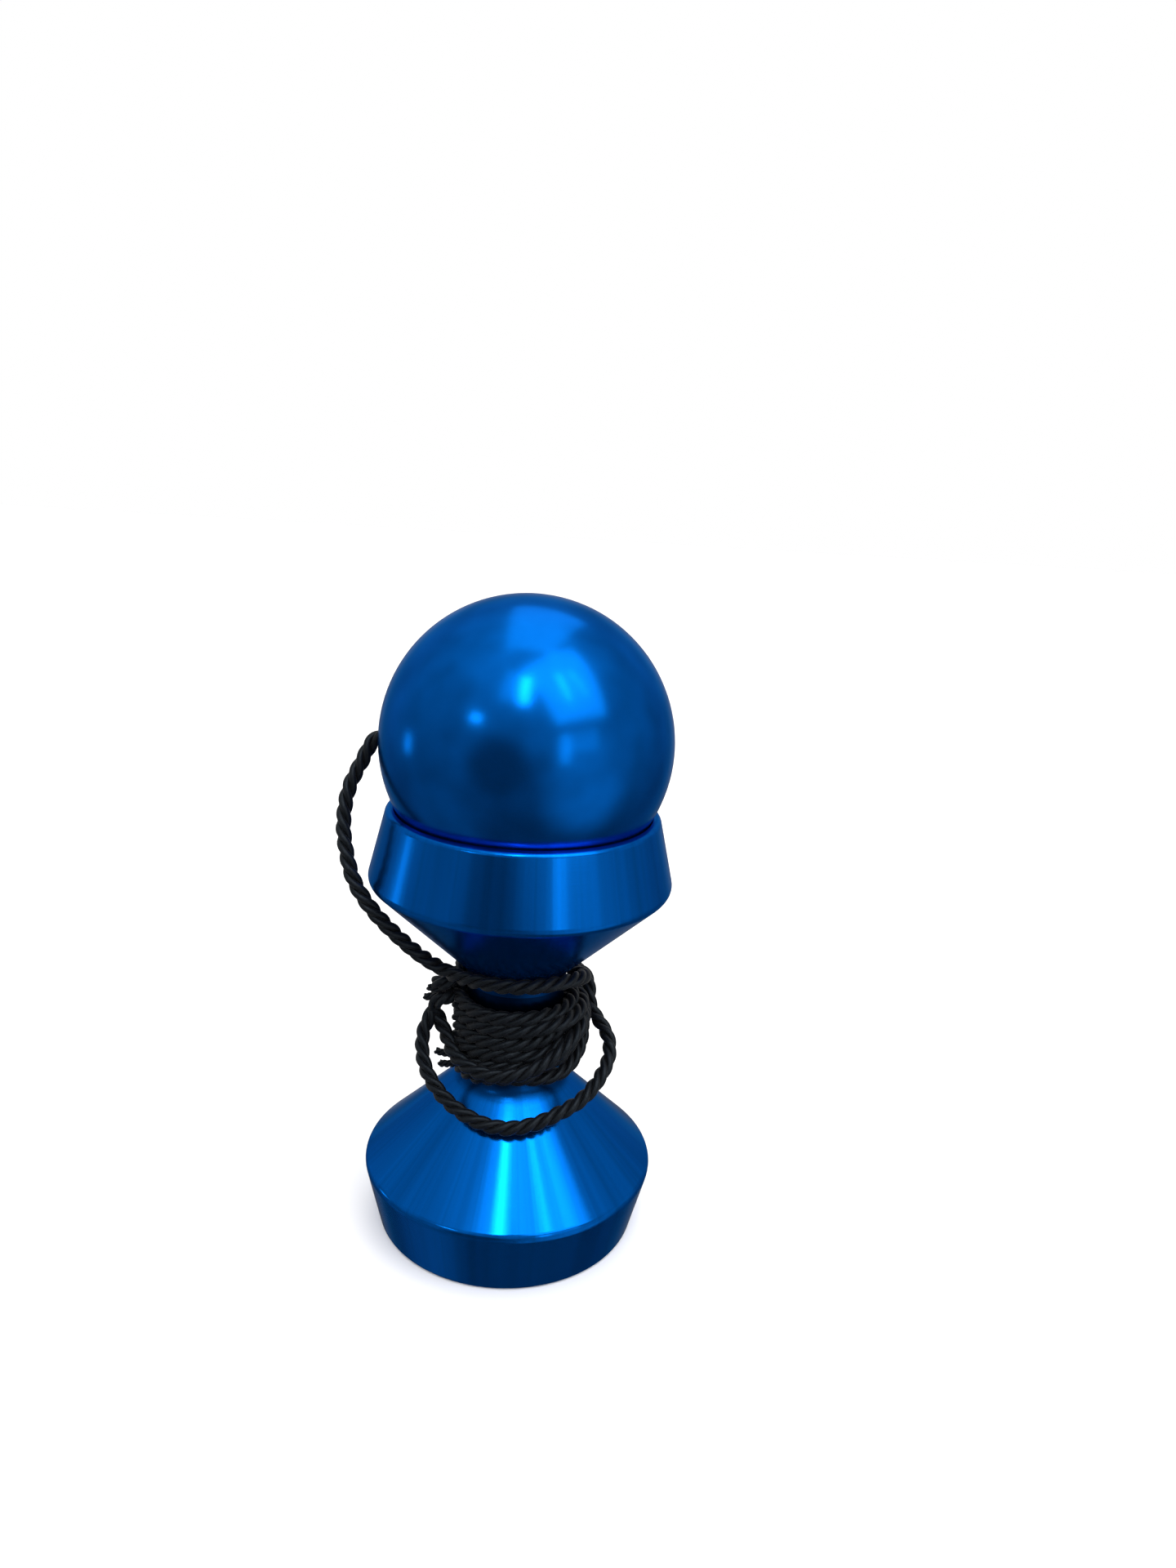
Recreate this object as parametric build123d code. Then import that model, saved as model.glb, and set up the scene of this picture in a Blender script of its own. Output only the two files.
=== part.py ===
from build123d import *
import math
import os

# Pocket cup-and-ball: a metal spool with a cup at each end, a ball that rests in the
# upper cup, and a twisted cord from the ball to the spool's waist. Millimetres, +Z up
# along the spool's axis, origin at the centre of the lower rim.

# Driving dimensions of the spool and ball
ball_r = 15.0
spool_length = 47.4
rim_r = 14.15
crease_r = 15.95
band_height = 7.4
cone_height = 10.3
waist_r = 5.2
bowl_rim_r = 13.34
bowl_depth = 10.4
seat_gap = 0.1

# Rounded edges of the spool
rim_round = 0.65
crease_round = 0.9
root_round = 3.0
seat_round = 0.15

# Inner parts of the spool
stud_r = 2.0
stud_reach = 5.0
stud_chamfer = 0.4
barrel_bore_r = 3.7
spigot_height = 1.0
cross_hole_r = 1.0
slip = 0.03

# The ball's stepped bore and what it holds
ball_hole_r = 1.1
ball_hole_round = 0.4
cavity_r = 2.8
cavity_start_x = 5.0
plug_r = 3.2
plug_start_x = 11.5
washer_r = 2.6
washer_thickness = 0.5
stopper_r = 2.1
stopper_gap = 0.15

# Cord and knots
cord_d = 1.6
cord_r = cord_d / 2
winding_r = 7.3
winding_inner_r = 5.35
winding_foot_r = 6.4
winding_bottom_z = 17.7
winding_inner_z = 19.2
winding_top_z = 27.6
winding_round = 0.8
top_turn_r = 7.5
top_turn_z = 29.8
hitch_r = 2.85
knot_r = 0.95
tail_r = 0.4
tail_start_r = 7.1
tail_length = 1.1
tail_heights = [19.3, 17.9]

# Places worked out from the driving dimensions
mid_z = spool_length / 2
crease_z = spool_length - band_height
root_z = crease_z - cone_height
root_turn = math.atan2(crease_r - waist_r, cone_height)
joint_z = root_z - root_round * math.tan(root_turn / 2) - slip
barrel_length = 2 * (joint_z - mid_z)
bowl_r = (bowl_rim_r**2 + bowl_depth**2) / (2 * bowl_depth)
ball_z = spool_length + math.sqrt(ball_r**2 - (bowl_rim_r - seat_gap) ** 2)
anchor_z = (winding_bottom_z + winding_top_z) / 2
lead_start_x = -ball_r - 0.05
stopper_x = cavity_start_x + washer_thickness + stopper_gap + stopper_r

# The cord's free stretch, from the ball's hole to the top turn
lead_route = [
    (lead_start_x, 0.0, ball_z),
    (-16.5, 0.0, ball_z),
    (-17.6, -0.3, 53.2),
    (-18.1, -1.2, 49.9),
    (-18.2, -2.6, 46.2),
    (-17.7, -4.1, 43.6),
    (-16.4, -5.5, 40.7),
    (-14.1, -6.0, 37.6),
    (-10.7, -5.1, 33.8),
    (-8.9, -4.0, 31.6),
    (-7.0, -2.7, 29.9),
]

# The finger loop, from its knot over the lower cone and back behind the waist
loop_route = [
    (-9.1, -0.2, 23.8),
    (-9.9, -1.1, 21.9),
    (-9.7, -3.0, 20.1),
    (-8.8, -4.7, 18.7),
    (-7.3, -6.3, 17.5),
    (-5.3, -7.6, 16.4),
    (-2.7, -8.8, 15.7),
    (0.0, -9.3, 15.6),
    (2.7, -9.0, 16.1),
    (5.2, -8.2, 17.0),
    (7.5, -6.9, 17.8),
    (9.3, -5.1, 19.2),
    (10.5, -2.7, 20.6),
    (10.4, -0.9, 22.1),
    (9.3, 0.9, 23.1),
    (8.2, 2.1, 24.2),
    (8.2, 4.4, 26.9),
    (5.8, 7.0, 27.0),
    (2.1, 8.7, 26.9),
    (-2.2, 8.9, 26.2),
    (-6.3, 6.9, 25.6),
    (-8.6, 4.0, 25.2),
    (-9.2, 1.2, 24.9),
]

# The loop's knot stands beside the waist
knot_bottom = (-8.9, -0.1, 24.7)
knot_top = (-8.2, -0.6, 27.5)


def lathe(points, rounds):
    """A turned solid from (radius, height) points, with a round at each corner."""
    outline = FilletPolyline(*points, radius=rounds, close=True)
    return revolve(make_face(Plane.XZ * outline), Axis.Z)


def rod(radius, length, start):
    """A cylinder that stands on the point start and runs up."""
    return Pos(*start) * Cylinder(radius, length, align=(Align.CENTER, Align.CENTER, Align.MIN))


def rod_x(radius, start_x, end_x, height):
    """A cylinder along X at the given height."""
    middle = (start_x + end_x) / 2
    return Pos(middle, 0, height) * Rot(0, 90, 0) * Cylinder(radius, end_x - start_x)


def corner_radii(route):
    """The arc at each corner that is as large as its two runs allow."""
    radii = []
    for before, here, after in zip(route, route[1:], route[2:]):
        run_in = Vector(here) - Vector(before)
        run_out = Vector(after) - Vector(here)
        shorter = min(run_in.length, run_out.length)
        half_turn = math.radians(run_in.get_angle(run_out) / 2)
        radii.append(0.45 * shorter / math.tan(half_turn))
    return radii


def cord_tube(name, route):
    """A round tube along straight runs joined by tangent arcs."""
    radii = corner_radii(route)
    path = FilletPolyline(*route, radius=radii)
    section = Plane(origin=path @ 0, z_dir=path % 0) * Circle(cord_r)
    tube = sweep(section, path=path)
    expected = math.pi * cord_r**2 * path.length
    print(f"{name}: length {path.length:.1f}, radii {[round(r, 1) for r in radii]}")
    print(f"{name}: volume {tube.volume:.2f}, section times length {expected:.2f}")
    return tube


def make_upper_cup():
    """A tapered band, a cone and a rounded root, with the bowl bored in."""
    points = [
        (0, spool_length),
        (rim_r, spool_length),
        (crease_r, crease_z),
        (waist_r, root_z),
        (waist_r, joint_z),
        (0, joint_z),
    ]
    rounds = [0, rim_round, crease_round, root_round, 0, 0]
    body = lathe(points, rounds)
    body -= Pos(0, 0, spool_length - bowl_depth + bowl_r) * Sphere(bowl_r)
    seat = body.edges().filter_by(GeomType.CIRCLE).filter_by(
        lambda edge: abs(edge.radius - bowl_rim_r) < 0.01
    )
    body = fillet(seat, seat_round)
    body += rod(barrel_bore_r - slip, spigot_height, (0, 0, joint_z - spigot_height))
    body -= rod(stud_r + slip, spigot_height + stud_reach, (0, 0, joint_z - spigot_height))
    return body


def make_lower_cup():
    """The upper cup turned over."""
    return Pos(0, 0, spool_length) * Rot(180, 0, 0) * make_upper_cup()


def make_waist_barrel():
    """A sleeve between the cups, with a cross hole behind for the cord."""
    start = (0, 0, mid_z - barrel_length / 2)
    sleeve = rod(waist_r, barrel_length, start) - rod(barrel_bore_r, barrel_length, start)
    drill = Pos(0, waist_r, anchor_z) * Rot(90, 0, 0) * Cylinder(cross_hole_r, 2 * waist_r)
    drill -= Pos(0, -waist_r, anchor_z) * Box(4 * waist_r, 2 * waist_r, 4 * waist_r)
    return sleeve - drill


def make_axle_stud():
    """The threaded stud, drawn plain, that pulls the cups onto the barrel."""
    length = barrel_length + 2 * (stud_reach - spigot_height) - 2 * slip
    stud = rod(stud_r, length, (0, 0, mid_z - length / 2))
    return chamfer(stud.edges().filter_by(GeomType.CIRCLE), stud_chamfer)


def make_anchor_hitch():
    """The cord's inner end: a turn round the stud and a tail out of the cross hole."""
    ring = Pos(0, 0, anchor_z) * Torus(hitch_r, cord_r - 2 * slip)
    tail_run = waist_r - hitch_r
    middle_y = (waist_r + hitch_r) / 2
    tail = Pos(0, middle_y, anchor_z) * Rot(90, 0, 0) * Cylinder(cord_r, tail_run)
    return ring + tail


def make_string_winding():
    """The outer shape of the cord wound on the waist."""
    points = [
        (winding_inner_r, winding_inner_z),
        (winding_foot_r, winding_bottom_z),
        (winding_r, winding_bottom_z),
        (winding_r, winding_top_z),
        (winding_inner_r, winding_top_z),
    ]
    return lathe(points, [0, 0, winding_round / 2, winding_round, 0])


def make_top_turn():
    """The one turn that lies apart, under the upper cone."""
    return Pos(0, 0, top_turn_z) * Torus(top_turn_r, cord_r)


def make_loop_knot():
    """The knot that closes the finger loop, as a rounded lump."""
    axis = Vector(knot_top) - Vector(knot_bottom)
    lump = Plane(origin=knot_bottom, z_dir=axis) * rod(knot_r, axis.length, (0, 0, 0))
    return lump + Pos(*knot_bottom) * Sphere(knot_r) + Pos(*knot_top) * Sphere(knot_r)


def make_string_tails():
    """The two cut ends that stick out of the winding."""
    tails = []
    for height in tail_heights:
        end_x = -tail_start_r
        tails.append(rod_x(tail_r, end_x - tail_length, end_x, height))
    return Compound(children=tails)


def make_ball_body():
    """The ball, with a stepped bore along X for the cord and its stopper."""
    ball = Pos(0, 0, ball_z) * Sphere(ball_r)
    ball -= rod_x(ball_hole_r, -ball_r - 1, cavity_start_x, ball_z)
    mouth = ball.edges().filter_by(lambda edge: edge.center().X < -cavity_start_x)
    ball = fillet(mouth, ball_hole_round)
    ball -= rod_x(cavity_r, cavity_start_x, plug_start_x, ball_z)
    return ball - rod_x(plug_r, plug_start_x, ball_r, ball_z)


def make_ball_plug():
    """The plug that closes the bore, flush with the ball."""
    plug = rod_x(plug_r - slip, plug_start_x + slip, ball_r, ball_z)
    return plug & (Pos(0, 0, ball_z) * Sphere(ball_r))


def make_knot_washer():
    """The washer that the stopper knot pulls on."""
    start_x = cavity_start_x + slip
    washer = rod_x(washer_r, start_x, start_x + washer_thickness, ball_z)
    return washer - rod_x(ball_hole_r, cavity_start_x, plug_start_x, ball_z)


def make_stopper_knot():
    """The knot at the cord's end inside the ball."""
    return Pos(stopper_x, 0, ball_z) * Sphere(stopper_r)


def make_ball_string():
    """The cord's stretch inside the ball, from the hole's mouth to the knot."""
    return rod_x(cord_r, -ball_r, stopper_x - stopper_r / 2, ball_z)


parts = {
    "upper_cup": make_upper_cup(),
    "lower_cup": make_lower_cup(),
    "waist_barrel": make_waist_barrel(),
    "axle_stud": make_axle_stud(),
    "anchor_hitch": make_anchor_hitch(),
    "string_winding": make_string_winding(),
    "top_turn": make_top_turn(),
    "string_lead": cord_tube("string_lead", lead_route),
    "finger_loop": cord_tube("finger_loop", loop_route),
    "loop_knot": make_loop_knot(),
    "string_tails": make_string_tails(),
    "ball_string": make_ball_string(),
    "stopper_knot": make_stopper_knot(),
    "knot_washer": make_knot_washer(),
    "ball_plug": make_ball_plug(),
    "ball_body": make_ball_body(),
}

os.makedirs("parts", exist_ok=True)
for name, solid in parts.items():
    export_step(solid, f"parts/{name}.step")
print(f"joint {joint_z:.2f}, barrel {barrel_length:.2f}, bowl radius {bowl_r:.2f}, ball at {ball_z:.2f}")
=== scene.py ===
import math
import random

import bpy
import numpy as np
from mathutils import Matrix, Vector


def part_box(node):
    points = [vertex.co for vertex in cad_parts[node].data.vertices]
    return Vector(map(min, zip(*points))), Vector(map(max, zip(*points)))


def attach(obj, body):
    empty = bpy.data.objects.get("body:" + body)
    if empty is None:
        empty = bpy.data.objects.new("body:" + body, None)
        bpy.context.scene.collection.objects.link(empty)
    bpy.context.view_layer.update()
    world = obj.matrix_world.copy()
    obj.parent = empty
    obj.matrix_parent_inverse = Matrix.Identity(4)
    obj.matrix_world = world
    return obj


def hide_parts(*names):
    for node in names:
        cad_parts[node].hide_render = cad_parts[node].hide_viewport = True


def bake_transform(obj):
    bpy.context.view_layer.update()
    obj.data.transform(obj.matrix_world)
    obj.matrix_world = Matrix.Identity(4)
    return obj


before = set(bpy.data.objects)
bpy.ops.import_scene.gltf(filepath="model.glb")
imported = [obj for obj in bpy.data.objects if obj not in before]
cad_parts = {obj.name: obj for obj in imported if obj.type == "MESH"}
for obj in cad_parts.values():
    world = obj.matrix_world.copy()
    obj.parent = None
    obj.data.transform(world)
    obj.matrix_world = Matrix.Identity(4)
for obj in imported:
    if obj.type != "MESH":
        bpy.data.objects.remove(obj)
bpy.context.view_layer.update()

MM = 0.001

# How high the ball's centre is, from the frame, in millimetres
ball_low, ball_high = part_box("ball_body")
ball_centre = (ball_low + ball_high) / 2
ball_z = ball_centre.z / MM

# Cord, in millimetres: its thickness, the length of one twist, and how close its rings are
cord_d = 1.6
cord_lay = 4.8
cord_step = 0.2

# A cut ply, which is a thinner twist
ply_d = 0.85
ply_lay = 1.9

# The cord's ends inside the toy, pulled tight: round the stud, and the knot in the ball
anchor_d = 0.95 * cord_d
stopper_d = 0.75 * cord_d
stud_turn_r = 2.85
stud_turn_points = 14
stud_turn_start = 130
stud_turn_sweep = 300
stud_turn_rise = 0.4
anchor_z = 22.65
barrel_r = 5.2
stopper_x = 7.75
knot_size = 0.42
knot_points = 18

# The cord round the waist, in millimetres and degrees: 180 is the left, 270 the front and
# 360 the right, and then the back, until 540 is the left again
turn_points = 16
full_turn = 360

# The top turn, and how its height and radius change on the way: how much, from where, to where
top_turn_start = 195
top_turn_sweep = 355
top_turn_r = 7.5
top_turn_z = 30.1
top_turn_climbs = [(0.6, 205, 245), (-2.3, 310, 385), (-0.3, 400, 470), (-1.2, 480, 550)]
top_turn_swells = [(0.2, 300, 340), (-1.5, 345, 385)]

# The winding's rows, level at the left and drawn together at the right
winding_start = top_turn_start + top_turn_sweep
winding_r = 6.2
winding_rows = 6
row_pitch = 1.56
top_row_z = 26.6
pinch_r = 7.2
pinch_z = 26.7
pinch_pitch = 0.6
front_lift = 1.3
bulge = 0.9
wobble_z = 0.1
wobble_r = 0.05
back_left = 150

# The angles over which the winding changes: where each change starts, and where it is full.
# The bottom row is drawn together further round than the top row.
top_row_draws = (250, 300)
bottom_row_draws = (325, 395)
rows_part = (410, 510)
front_lifts = (215, 270)
bulge_grows = (280, 330)
bulge_shrinks = (400, 480)


def make_camera():
    """The camera stands close in front of the toy and looks a little down at it."""
    data = bpy.data.cameras.new("camera")
    data.lens = 25.31
    data.sensor_width = 36
    data.clip_start = 0.005
    camera = bpy.data.objects.new("camera", data)
    camera.location = (0, -0.109544, 0.080373)
    camera.rotation_euler = [math.radians(angle) for angle in (74.663, -3.446, -2.412)]
    bpy.context.scene.collection.objects.link(camera)
    bpy.context.scene.camera = camera


def smooth(value, low, high):
    """0 below low, 1 above high, and smoothly between."""
    share = min(1, max(0, (value - low) / (high - low)))
    return share * share * (3 - 2 * share)


def on_waist(radius, degrees, height):
    """A point round the spool's axis. 180 degrees is the left, 270 the front."""
    angle = math.radians(degrees)
    return (radius * math.cos(angle), radius * math.sin(angle), height)


# The cord's free stretch, from the ball's hole to the waist
lead_route = [
    (-14.6, 0.0, ball_z),
    (-15.6, -0.1, 54.1),
    (-16.4, -0.5, 52.2),
    (-17.9, -1.3, 49.2),
    (-18.2, -2.6, 45.9),
    (-17.7, -4.1, 43.7),
    (-16.7, -5.5, 40.6),
    (-14.4, -6.0, 37.4),
    (-11.1, -5.1, 33.7),
    (-9.2, -4.0, 31.7),
    (-7.7, -2.9, 30.3),
]

# The finger loop, from its knot over the lower cone and back behind the waist
loop_route = [
    (-8.9, -0.2, 24.2),
    (-9.2, -0.4, 23.5),
    (-9.9, -1.1, 21.9),
    (-9.7, -3.0, 20.1),
    (-8.8, -4.7, 18.7),
    (-7.3, -6.3, 17.5),
    (-5.3, -7.6, 16.4),
    (-2.7, -8.8, 15.7),
    (0.0, -9.3, 15.6),
    (2.7, -9.0, 16.1),
    (5.2, -8.2, 17.0),
    (7.5, -6.9, 17.8),
    (9.3, -5.1, 19.2),
    (10.5, -2.7, 20.6),
    (10.4, -0.9, 22.1),
    (9.3, 0.9, 23.1),
    (8.2, 2.1, 24.2),
    (8.2, 4.4, 26.9),
    (5.8, 7.0, 27.0),
    (2.1, 8.7, 26.9),
    (-2.2, 8.9, 26.2),
    (-6.3, 6.9, 25.6),
    (-8.6, 4.0, 25.2),
    (-9.1, 1.2, 24.9),
]

# The hitch that holds the loop: down beside the waist, then over the winding
hitch_route = [
    (-5.9, 2.2, 28.7),
    (-6.5, 0.6, 28.7),
    (-6.7, -1.1, 28.2),
    (-8.0, -1.5, 27.9),
    (-8.7, -0.2, 27.5),
    (-7.7, 0.6, 27.1),
    (-6.7, -0.2, 26.7),
    (-7.2, -1.4, 26.3),
    (-8.5, -1.1, 25.7),
    (-8.8, -0.1, 24.7),
    (-8.2, -0.1, 23.2),
    (-7.3, -1.4, 22.0),
    (-6.3, -4.0, 20.9),
    (-3.9, -6.2, 20.3),
    (-1.2, -7.3, 20.3),
    (2.1, -7.4, 21.2),
    (5.0, -5.9, 22.8),
    (7.1, -3.3, 24.2),
    (7.5, -0.3, 24.8),
    (6.9, 1.9, 23.6),
    (6.2, 2.6, 21.6),
    (5.9, 3.0, 19.9),
    (4.2, 5.2, 19.5),
    (1.0, 6.8, 19.6),
]

# Single plies that were cut short: two at the knot, two out of the winding
stub_routes = [
    [(-8.0, -0.9, 27.0), (-8.7, -0.9, 27.0), (-9.4, -0.7, 27.2)],
    [(-8.2, -0.6, 26.0), (-9.0, -0.6, 26.0), (-9.8, -0.4, 25.8)],
    [(-6.2, -1.2, 19.5), (-7.3, -0.9, 19.3), (-8.4, -0.4, 19.4)],
    [(-6.0, -1.2, 18.4), (-7.1, -0.8, 18.0), (-8.0, -0.4, 17.9)],
]

# The cord in the ball's bore, from the hole's mouth to the knot
inner_route = [(-15.0, 0.0, ball_z), (-5.0, 0.0, ball_z), (5.9, 0.0, ball_z)]


def anchor_route():
    """The cord's inner end: round the stud and out of the cross hole behind."""
    points = []
    for step in range(stud_turn_points + 1):
        share = step / stud_turn_points
        degrees = stud_turn_start + stud_turn_sweep * share
        height = anchor_z - stud_turn_rise * (1 - share)
        points.append(on_waist(stud_turn_r, degrees, height))
    points.append((0.0, 0.75 * barrel_r, anchor_z))
    points.append((0.0, barrel_r, anchor_z))
    return points


def stopper_route():
    """The overhand knot at the cord's end inside the ball."""
    points = []
    for step in range(knot_points + 1):
        angle = 2 * math.pi * step / knot_points
        across = knot_size * (math.sin(angle) + 2 * math.sin(2 * angle))
        up = knot_size * (math.cos(angle) - 2 * math.cos(2 * angle))
        points.append((stopper_x + knot_size * math.sin(3 * angle), across, ball_z + up))
    return points


def staged(start, stages, degrees):
    """The start value, changed smoothly by each stage's amount between its two angles."""
    return start + sum(amount * smooth(degrees, low, high) for amount, low, high in stages)


def top_turn_route():
    """One loose turn under the upper cone, high in front and drawn in behind."""
    points = []
    for step in range(1, turn_points):
        degrees = top_turn_start + top_turn_sweep * step / turn_points
        height = staged(top_turn_z, top_turn_climbs, degrees)
        radius = staged(top_turn_r, top_turn_swells, degrees)
        points.append(on_waist(radius, degrees, height))
    return points


def winding_route():
    """The untidy turns on the waist: level at the left, drawn together high at the right."""
    rng = random.Random(4)
    points = []
    for step in range(winding_rows * turn_points):
        turn = step / turn_points
        degrees = winding_start + full_turn * turn
        around = degrees % full_turn
        if around < back_left:
            around += full_turn
        share = turn / winding_rows
        row_draws = [top + (low - top) * share for top, low in zip(top_row_draws, bottom_row_draws)]
        drawn = smooth(around, *row_draws) - smooth(around, *rows_part)
        row_z = top_row_z - row_pitch * turn
        drawn_z = pinch_z - pinch_pitch * turn
        drawn_r = pinch_r if int(turn) % 2 else winding_r
        lift = front_lift * share * smooth(around, *front_lifts) * (1 - drawn)
        swell = bulge * share * smooth(around, *bulge_grows) * (1 - smooth(around, *bulge_shrinks))
        height = row_z + (drawn_z - row_z) * drawn + lift + rng.uniform(-wobble_z, wobble_z)
        radius = winding_r + (drawn_r - winding_r) * drawn + swell + rng.uniform(-wobble_r, wobble_r)
        points.append(on_waist(radius, degrees, height))
    return points


def nurbs_line(points):
    """The smooth line of a NURBS spline whose control points are the route's."""
    curve = bpy.data.curves.new("route", "CURVE")
    curve.dimensions = "3D"
    curve.resolution_u = 16
    spline = curve.splines.new("NURBS")
    spline.points.add(len(points) - 1)
    for control, point in zip(spline.points, points):
        control.co = (point[0] * MM, point[1] * MM, point[2] * MM, 1)
    spline.order_u = 3
    spline.use_endpoint_u = True
    carrier = bpy.data.objects.new("route", curve)
    mesh = bpy.data.meshes.new_from_object(carrier)
    line = np.array([vertex.co for vertex in mesh.vertices])
    bpy.data.meshes.remove(mesh)
    bpy.data.objects.remove(carrier)
    bpy.data.curves.remove(curve)
    return line


def spaced(line, step):
    """The line again, with points a step apart, and how far along each is."""
    lengths = np.linalg.norm(np.diff(line, axis=0), axis=1)
    along = np.concatenate([[0], np.cumsum(lengths)])
    at = np.linspace(0, along[-1], max(3, int(along[-1] / step) + 1))
    points = np.stack([np.interp(at, along, line[:, axis]) for axis in range(3)], axis=1)
    return points, at


def directions(points):
    """The line's unit direction at each point."""
    ahead = np.gradient(points, axis=0)
    return ahead / np.linalg.norm(ahead, axis=1)[:, None]


def carried_frame(ahead):
    """Two unit vectors square to the line, carried along it without twist."""
    side = np.cross(ahead[0], (0, 0, 1) if abs(ahead[0][2]) < 0.9 else (1, 0, 0))
    sides = []
    for direction in ahead:
        side = side - direction * (side @ direction)
        side = side / np.linalg.norm(side)
        sides.append(side)
    sides = np.array(sides)
    return sides, np.cross(ahead, sides)


def new_piece(name, verts, faces):
    """A smooth-shaded mesh object."""
    mesh = bpy.data.meshes.new(name)
    mesh.from_pydata(verts, [], faces)
    mesh.validate()
    mesh.shade_smooth()
    piece = bpy.data.objects.new(name, mesh)
    bpy.context.scene.collection.objects.link(piece)
    return piece


def twisted_cord(name, line, diameter, lay, plies=3, sides=12):
    """A left-hand twisted cord along the line, each ply a closed tube of its own."""
    points, along = spaced(line, cord_step * MM)
    ahead = directions(points)
    side, up = carried_frame(ahead)
    ply_r = diameter / 2 / (1 + 1 / math.sin(math.pi / plies))
    offset = diameter / 2 - ply_r
    verts = []
    faces = []
    for ply in range(plies):
        angle = -2 * math.pi * along / lay + 2 * math.pi * ply / plies
        outward = np.cos(angle)[:, None] * side + np.sin(angle)[:, None] * up
        middle = points + offset * outward
        strand_ahead = directions(middle)
        across = np.cross(strand_ahead, outward)
        across /= np.linalg.norm(across, axis=1)[:, None]
        out = np.cross(across, strand_ahead)
        first = len(verts)
        rings = len(middle)
        for ring in range(rings):
            for corner in range(sides):
                turn = 2 * math.pi * corner / sides
                spoke = math.cos(turn) * out[ring] + math.sin(turn) * across[ring]
                verts.append(middle[ring] + ply_r * spoke)
        for ring in range(rings - 1):
            for corner in range(sides):
                after = (corner + 1) % sides
                a = first + ring * sides
                faces.append((a + corner, a + after, a + sides + after, a + sides + corner))
        faces.append(tuple(first + corner for corner in reversed(range(sides))))
        last = first + (rings - 1) * sides
        faces.append(tuple(last + corner for corner in range(sides)))
    return new_piece(name, verts, faces)


def cord_piece(name, line, thickness=cord_d, lay=cord_lay):
    """A piece of the black twisted cord along the line."""
    piece = twisted_cord(name, line, thickness * MM, lay * MM)
    piece.data.materials.append(cord_black)
    return piece


def fit(piece, body, *stands_for):
    """Lets a piece of cord ride on a body, in place of those CAD nodes."""
    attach(piece, body)
    if stands_for:
        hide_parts(*stands_for)


# Materials

# Anodised metal keeps some of its blue at the edges, and its dyed skin scatters a trace of light
edge_tint = (0.32, 0.6, 0.95, 1)
anodised = 0.97

# Radii in metres: painted shade darkens the colour inside the first pair, and the metal is duller
# inside the second
painted_shade_radii = (0.0066, 0.0056)
dull_radii = (0.0095, 0.0065)


def new_material(name):
    """A material with its nodes, and its main shader."""
    material = bpy.data.materials.new(name)
    material.use_nodes = True
    nodes = material.node_tree.nodes
    return material, nodes, material.node_tree.links, nodes["Principled BSDF"]


def add(nodes, kind, **values):
    """A node with the given inputs set by name."""
    node = nodes.new(kind)
    for key, value in values.items():
        node.inputs[key.replace("_", " ")].default_value = value
    return node


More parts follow.
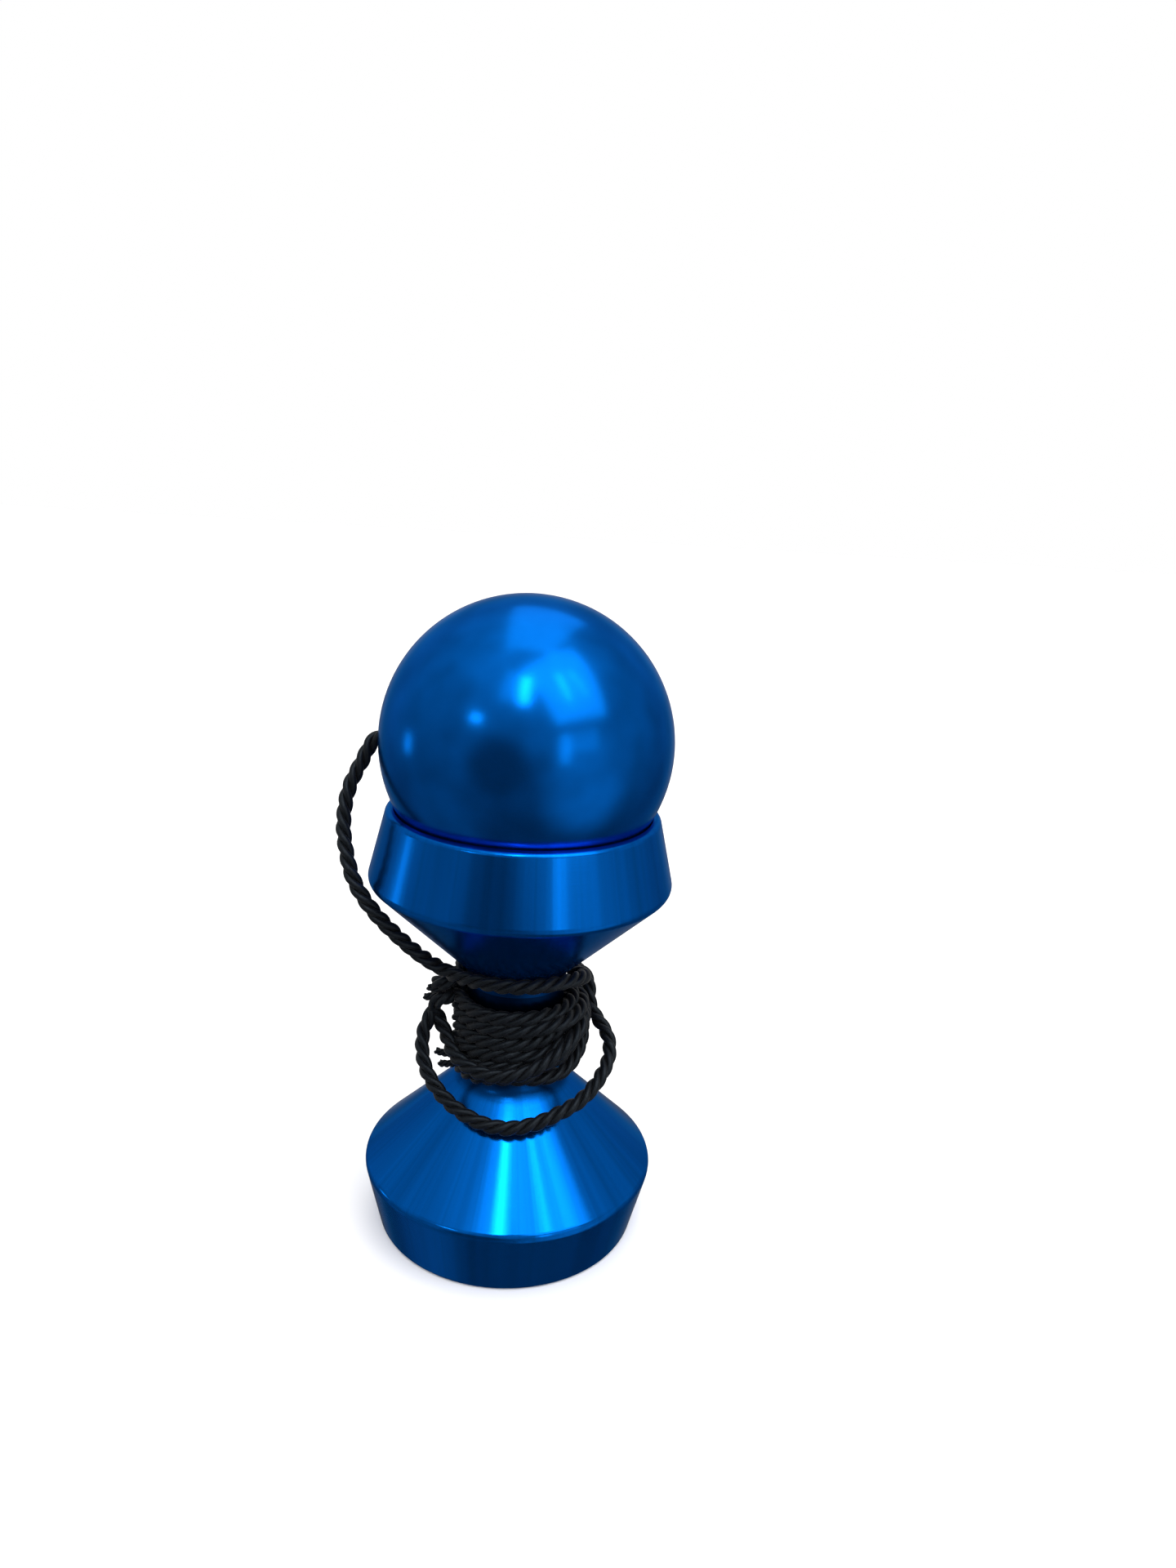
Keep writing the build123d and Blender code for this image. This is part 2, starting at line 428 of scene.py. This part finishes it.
def turned_metal(name, colour, roughness, groove):
    """Lathe-turned anodised aluminium: fine rings, a streaky dye, painted shade and duller metal at
    the root.
    """
    material, nodes, links, shader = new_material(name)
    place = nodes.new("ShaderNodeTexCoord")
    split = nodes.new("ShaderNodeSeparateXYZ")
    links.new(place.outputs["Object"], split.inputs[0])
    flat = nodes.new("ShaderNodeCombineXYZ")
    links.new(split.outputs["X"], flat.inputs["X"])
    links.new(split.outputs["Y"], flat.inputs["Y"])
    reach = nodes.new("ShaderNodeVectorMath")
    reach.operation = "LENGTH"
    links.new(flat.outputs[0], reach.inputs[0])
    profile = nodes.new("ShaderNodeCombineXYZ")
    links.new(reach.outputs["Value"], profile.inputs["X"])
    links.new(split.outputs["Z"], profile.inputs["Y"])
    rings = add(nodes, "ShaderNodeTexNoise", Scale=9000, Detail=3, Roughness=0.6)
    links.new(profile.outputs[0], rings.inputs["Vector"])
    bump = add(nodes, "ShaderNodeBump", Strength=groove, Distance=0.00002)
    links.new(rings.outputs["Fac"], bump.inputs["Height"])
    links.new(bump.outputs[0], shader.inputs["Normal"])
    around = nodes.new("ShaderNodeVectorMath")
    around.operation = "NORMALIZE"
    links.new(flat.outputs[0], around.inputs[0])
    streaks = add(nodes, "ShaderNodeTexNoise", Scale=14, Detail=4, Roughness=0.65)
    links.new(around.outputs[0], streaks.inputs["Vector"])
    dye = nodes.new("ShaderNodeValToRGB")
    dye.color_ramp.elements[0].position = 0.35
    dye.color_ramp.elements[0].color = (*[0.86 * channel for channel in colour], 1)
    dye.color_ramp.elements[1].position = 0.65
    dye.color_ramp.elements[1].color = (*[1.06 * channel for channel in colour], 1)
    links.new(streaks.outputs["Fac"], dye.inputs["Fac"])
    # Painted shade: the colour darkens to a quarter towards the axis, in the root where the cord
    # winds
    root = nodes.new("ShaderNodeMapRange")
    root.interpolation_type = "SMOOTHSTEP"
    root.inputs["From Min"].default_value = painted_shade_radii[0]
    root.inputs["From Max"].default_value = painted_shade_radii[1]
    links.new(reach.outputs["Value"], root.inputs["Value"])
    painted_root_shade = nodes.new("ShaderNodeMixRGB")
    painted_root_shade.inputs["Color2"].default_value = (*[0.25 * channel for channel in colour], 1)
    links.new(root.outputs[0], painted_root_shade.inputs["Fac"])
    links.new(dye.outputs[0], painted_root_shade.inputs["Color1"])
    links.new(painted_root_shade.outputs[0], shader.inputs["Base Color"])
    spread = nodes.new("ShaderNodeMapRange")
    spread.inputs["To Min"].default_value = roughness * 0.85
    spread.inputs["To Max"].default_value = roughness * 1.15
    links.new(streaks.outputs["Fac"], spread.inputs["Value"])
    dull = nodes.new("ShaderNodeMapRange")
    dull.interpolation_type = "SMOOTHSTEP"
    dull.inputs["From Min"].default_value = dull_radii[0]
    dull.inputs["From Max"].default_value = dull_radii[1]
    dull.inputs["To Max"].default_value = 0.1
    links.new(reach.outputs["Value"], dull.inputs["Value"])
    duller = nodes.new("ShaderNodeMath")
    links.new(spread.outputs[0], duller.inputs[0])
    links.new(dull.outputs[0], duller.inputs[1])
    links.new(duller.outputs[0], shader.inputs["Roughness"])
    tangent = nodes.new("ShaderNodeTangent")
    tangent.direction_type = "RADIAL"
    tangent.axis = "Z"
    links.new(tangent.outputs[0], shader.inputs["Tangent"])
    shader.inputs["Metallic"].default_value = anodised
    shader.inputs["Specular Tint"].default_value = edge_tint
    shader.inputs["Anisotropic"].default_value = 0.6
    return material


def satin_metal(name, colour, roughness):
    """Satin anodised aluminium, with the faint mottle of the etch."""
    material, nodes, links, shader = new_material(name)
    place = nodes.new("ShaderNodeTexCoord")
    mottle = add(nodes, "ShaderNodeTexNoise", Scale=260, Detail=4, Roughness=0.6)
    links.new(place.outputs["Object"], mottle.inputs["Vector"])
    grain = add(nodes, "ShaderNodeTexNoise", Scale=9000, Detail=2, Roughness=0.5)
    links.new(place.outputs["Object"], grain.inputs["Vector"])
    dye = nodes.new("ShaderNodeMixRGB")
    dye.inputs["Color1"].default_value = (*colour, 1)
    dye.inputs["Color2"].default_value = (*[0.8 * channel for channel in colour], 1)
    links.new(mottle.outputs["Fac"], dye.inputs["Fac"])
    links.new(dye.outputs[0], shader.inputs["Base Color"])
    spread = nodes.new("ShaderNodeMapRange")
    spread.inputs["To Min"].default_value = roughness * 0.85
    spread.inputs["To Max"].default_value = roughness * 1.15
    links.new(mottle.outputs["Fac"], spread.inputs["Value"])
    links.new(spread.outputs[0], shader.inputs["Roughness"])
    bump = add(nodes, "ShaderNodeBump", Strength=0.05, Distance=0.00002)
    links.new(grain.outputs["Fac"], bump.inputs["Height"])
    links.new(bump.outputs[0], shader.inputs["Normal"])
    shader.inputs["Metallic"].default_value = anodised
    shader.inputs["Specular Tint"].default_value = edge_tint
    return material


def cord_cloth(name):
    """Black waxed thread: fine fibres and a faint, cool sheen."""
    material, nodes, links, shader = new_material(name)
    place = nodes.new("ShaderNodeTexCoord")
    fibres = add(nodes, "ShaderNodeTexNoise", Scale=5200, Detail=4, Roughness=0.7)
    links.new(place.outputs["Object"], fibres.inputs["Vector"])
    tone = nodes.new("ShaderNodeValToRGB")
    tone.color_ramp.elements[0].position = 0.35
    tone.color_ramp.elements[0].color = (0.0007, 0.001, 0.0015, 1)
    tone.color_ramp.elements[1].position = 0.75
    tone.color_ramp.elements[1].color = (0.005, 0.0062, 0.009, 1)
    links.new(fibres.outputs["Fac"], tone.inputs["Fac"])
    links.new(tone.outputs[0], shader.inputs["Base Color"])
    bump = add(nodes, "ShaderNodeBump", Strength=0.5, Distance=0.00008)
    links.new(fibres.outputs["Fac"], bump.inputs["Height"])
    links.new(bump.outputs[0], shader.inputs["Normal"])
    shader.inputs["Roughness"].default_value = 0.35
    shader.inputs["Sheen Weight"].default_value = 0.03
    shader.inputs["Specular IOR Level"].default_value = 0.22
    shader.inputs["Specular Tint"].default_value = (0.7, 0.85, 1, 1)
    shader.inputs["Sheen Roughness"].default_value = 0.4
    return material


def steel(name):
    """Bright drawn steel, unevenly worn."""
    material, nodes, links, shader = new_material(name)
    place = nodes.new("ShaderNodeTexCoord")
    wear = add(nodes, "ShaderNodeTexNoise", Scale=900, Detail=3, Roughness=0.6)
    links.new(place.outputs["Object"], wear.inputs["Vector"])
    spread = nodes.new("ShaderNodeMapRange")
    spread.inputs["To Min"].default_value = 0.2
    spread.inputs["To Max"].default_value = 0.4
    links.new(wear.outputs["Fac"], spread.inputs["Value"])
    links.new(spread.outputs[0], shader.inputs["Roughness"])
    tone = nodes.new("ShaderNodeValToRGB")
    tone.color_ramp.elements[0].position = 0.3
    tone.color_ramp.elements[0].color = (0.46, 0.46, 0.47, 1)
    tone.color_ramp.elements[1].position = 0.7
    tone.color_ramp.elements[1].color = (0.62, 0.62, 0.63, 1)
    links.new(wear.outputs["Fac"], tone.inputs["Fac"])
    links.new(tone.outputs[0], shader.inputs["Base Color"])
    shader.inputs["Metallic"].default_value = 1
    return material


def floor_white(name):
    """The pale floor."""
    material, nodes, links, shader = new_material(name)
    place = nodes.new("ShaderNodeTexCoord")
    patches = add(nodes, "ShaderNodeTexNoise", Scale=12, Detail=3, Roughness=0.5)
    links.new(place.outputs["Object"], patches.inputs["Vector"])
    tone = nodes.new("ShaderNodeValToRGB")
    tone.color_ramp.elements[0].color = (0.82, 0.82, 0.83, 1)
    tone.color_ramp.elements[1].color = (0.86, 0.86, 0.86, 1)
    links.new(patches.outputs["Fac"], tone.inputs["Fac"])
    links.new(tone.outputs[0], shader.inputs["Base Color"])
    shader.inputs["Roughness"].default_value = 0.8
    return material


def dress(node, material):
    """Gives a CAD node a material in place of its own."""
    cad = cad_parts[node]
    cad.data.materials.clear()
    cad.data.materials.append(material)


# Stage, in metres
floor_half = 1.5
light_distance = 0.9
middle_z = 0.035


def make_floor():
    """A wide pale floor at the foot of the toy."""
    mesh = bpy.data.meshes.new("floor")
    sides = [(-1, -1), (1, -1), (1, 1), (-1, 1)]
    corners = [(x * floor_half, y * floor_half, 0) for x, y in sides]
    mesh.from_pydata(corners, [], [(0, 1, 2, 3)])
    mesh.materials.append(floor_white("floor_white"))
    floor = bpy.data.objects.new("floor", mesh)
    floor.visible_glossy = False
    bpy.context.scene.collection.objects.link(floor)


def make_light(name, azimuth, elevation, width, height, brightness):
    """A soft rectangular light of that angular size and brightness, facing the toy."""
    data = bpy.data.lights.new(name, "AREA")
    data.shape = "RECTANGLE"
    data.size = 2 * light_distance * math.tan(math.radians(width / 2))
    data.size_y = 2 * light_distance * math.tan(math.radians(height / 2))
    data.energy = brightness * math.pi * data.size * data.size_y
    light = bpy.data.objects.new(name, data)
    around = math.radians(azimuth)
    up = math.radians(elevation)
    level = math.cos(up)
    toward = Vector((level * math.cos(around), level * math.sin(around), math.sin(up)))
    light.location = Vector((0, 0, middle_z)) + toward * light_distance
    light.rotation_euler = (-toward).to_track_quat("-Z", "Y").to_euler()
    bpy.context.scene.collection.objects.link(light)


# The studio's lights: azimuth and elevation, width and height in degrees, and brightness
studio_lights = [
    ("strip", 265, 52, 6, 20, 14),
    ("strip_glow", 250, 54, 14, 24, 0.9),
    ("window", 315, 53, 43, 50, 1.95),
    ("window_edge", 309, 53, 3, 20, 7),
    ("window_bar", 328, 52, 5, 20, 2.2),
    ("skylight", 80, 70, 30, 50, 1.2),
    ("left_strip", 171, -4, 6, 9, 2.6),
    ("front_strip", 298, 9, 8, 20, 1.9),
    ("front_card", 312, 14, 26, 14, 0.7),
    ("left_spot", 227, 26, 8, 4, 8),
]

# The room's brightness at steps from straight down, 0, to straight up, 1
room_steps = [(0.3, 0.22), (0.5, 0.38), (0.7, 0.5), (0.85, 0.62)]

# Patches of the room that show in the metal: direction, degrees from its centre where
# the patch starts and where it is full, and brightness
room_patches = [
    ((0.72, -0.6, -0.35), 42, 12, 0.7),
    ((-0.8, -0.1, -0.8), 32, 8, 0.3),
    ((-0.33, -0.93, -0.12), 29, 14, 0.1),
]


def make_world():
    """A white room; in reflections it is dim, brighter above and dark below."""
    world = bpy.data.worlds.new("world")
    world.use_nodes = True
    nodes = world.node_tree.nodes
    links = world.node_tree.links
    nodes.clear()
    seen = add(nodes, "ShaderNodeBackground", Color=(1, 1, 1, 1), Strength=1.0)
    lit = add(nodes, "ShaderNodeBackground", Color=(1, 1, 1, 1), Strength=1.25)
    room = nodes.new("ShaderNodeBackground")
    place = nodes.new("ShaderNodeTexCoord")
    split = nodes.new("ShaderNodeSeparateXYZ")
    links.new(place.outputs["Generated"], split.inputs[0])
    shade = nodes.new("ShaderNodeValToRGB")
    shade.color_ramp.elements[0].position = 0.1
    shade.color_ramp.elements[0].color = (0.13, 0.13, 0.13, 1)
    shade.color_ramp.elements[1].position = 1.0
    shade.color_ramp.elements[1].color = (1.0, 1.0, 1.0, 1)
    for level, bright in room_steps:
        shade.color_ramp.elements.new(level).color = (bright, bright, bright, 1)
    height = nodes.new("ShaderNodeMapRange")
    height.inputs["From Min"].default_value = -1
    links.new(split.outputs["Z"], height.inputs["Value"])
    links.new(height.outputs[0], shade.inputs["Fac"])
    clouds = add(nodes, "ShaderNodeTexNoise", Scale=3.2, Detail=5, Roughness=0.6)
    links.new(place.outputs["Generated"], clouds.inputs["Vector"])
    cloudy = nodes.new("ShaderNodeMapRange")
    cloudy.inputs["From Min"].default_value = 0.3
    cloudy.inputs["From Max"].default_value = 0.7
    cloudy.inputs["To Min"].default_value = 0.6
    cloudy.inputs["To Max"].default_value = 1.4
    links.new(clouds.outputs["Fac"], cloudy.inputs["Value"])
    links.new(cloudy.outputs[0], room.inputs["Strength"])
    colour = shade.outputs[0]
    for direction, widest, narrowest, bright in room_patches:
        near = nodes.new("ShaderNodeVectorMath")
        near.operation = "DOT_PRODUCT"
        near.inputs[1].default_value = Vector(direction).normalized()
        links.new(place.outputs["Generated"], near.inputs[0])
        wedge = nodes.new("ShaderNodeMapRange")
        wedge.interpolation_type = "SMOOTHSTEP"
        wedge.inputs["From Min"].default_value = math.cos(math.radians(widest))
        wedge.inputs["From Max"].default_value = math.cos(math.radians(narrowest))
        links.new(near.outputs["Value"], wedge.inputs["Value"])
        blend = nodes.new("ShaderNodeMixRGB")
        blend.inputs["Color2"].default_value = (bright, bright, bright, 1)
        links.new(wedge.outputs[0], blend.inputs["Fac"])
        links.new(colour, blend.inputs["Color1"])
        colour = blend.outputs[0]
    links.new(colour, room.inputs["Color"])
    path = nodes.new("ShaderNodeLightPath")
    ahead = nodes.new("ShaderNodeMixShader")
    links.new(path.outputs["Is Camera Ray"], ahead.inputs["Fac"])
    links.new(lit.outputs[0], ahead.inputs[1])
    links.new(seen.outputs[0], ahead.inputs[2])
    mix = nodes.new("ShaderNodeMixShader")
    links.new(path.outputs["Is Glossy Ray"], mix.inputs["Fac"])
    links.new(ahead.outputs[0], mix.inputs[1])
    links.new(room.outputs[0], mix.inputs[2])
    out = nodes.new("ShaderNodeOutputWorld")
    links.new(mix.outputs[0], out.inputs["Surface"])
    bpy.context.scene.world = world


make_camera()

# The cord, from the ball's hole to the end of the winding, and the pieces that go with it
cord_black = cord_cloth("cord_black")
string_line = nurbs_line(lead_route + top_turn_route() + winding_route())
loop_line = nurbs_line(loop_route)
string = cord_piece("string", string_line)
loop = cord_piece("loop_cord", loop_line)
hitch = cord_piece("hitch_cord", nurbs_line(hitch_route))
stubs = []
for number, route in enumerate(stub_routes):
    stubs.append(cord_piece(f"cut_ply_{number}", nurbs_line(route), ply_d, ply_lay))
anchor = cord_piece("anchor_cord", nurbs_line(anchor_route()), anchor_d)
inner = cord_piece("inner_cord", nurbs_line(inner_route))
stopper = cord_piece("stopper_cord", nurbs_line(stopper_route()), stopper_d)

fit(hitch, "spool", "loop_knot")
fit(stubs[0], "spool")
fit(stubs[1], "spool")
fit(stubs[2], "spool", "string_tails")
fit(stubs[3], "spool")
fit(anchor, "spool", "anchor_hitch")
fit(inner, "string_end", "ball_string")
fit(stopper, "string_end", "stopper_knot")

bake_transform(string)
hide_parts("string_lead", "top_turn", "string_winding")

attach(loop, "spool")
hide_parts("finger_loop")

# The metal keeps its CAD shapes
blue = (0.0003, 0.115, 0.5)
# Painted shade: the waist barrel gets a darker copy of the blue, for the shade between the cups and
# under the cord
shaded = [0.35 * channel for channel in blue]
satin_blue = satin_metal("satin_blue", blue, 0.21)
bright_steel = steel("bright_steel")
dress("lower_cup", turned_metal("turned_blue", blue, 0.14, 0.2))
dress("upper_cup", turned_metal("knocked_blue", blue, 0.19, 0.2))
dress("waist_barrel", turned_metal("painted_shade_blue", shaded, 0.2, 0.2))
dress("ball_body", satin_blue)
dress("ball_plug", satin_blue)
dress("axle_stud", bright_steel)
dress("knot_washer", bright_steel)

make_floor()
make_world()
for light in studio_lights:
    make_light(*light)
bpy.context.scene.view_settings.view_transform = "Standard"
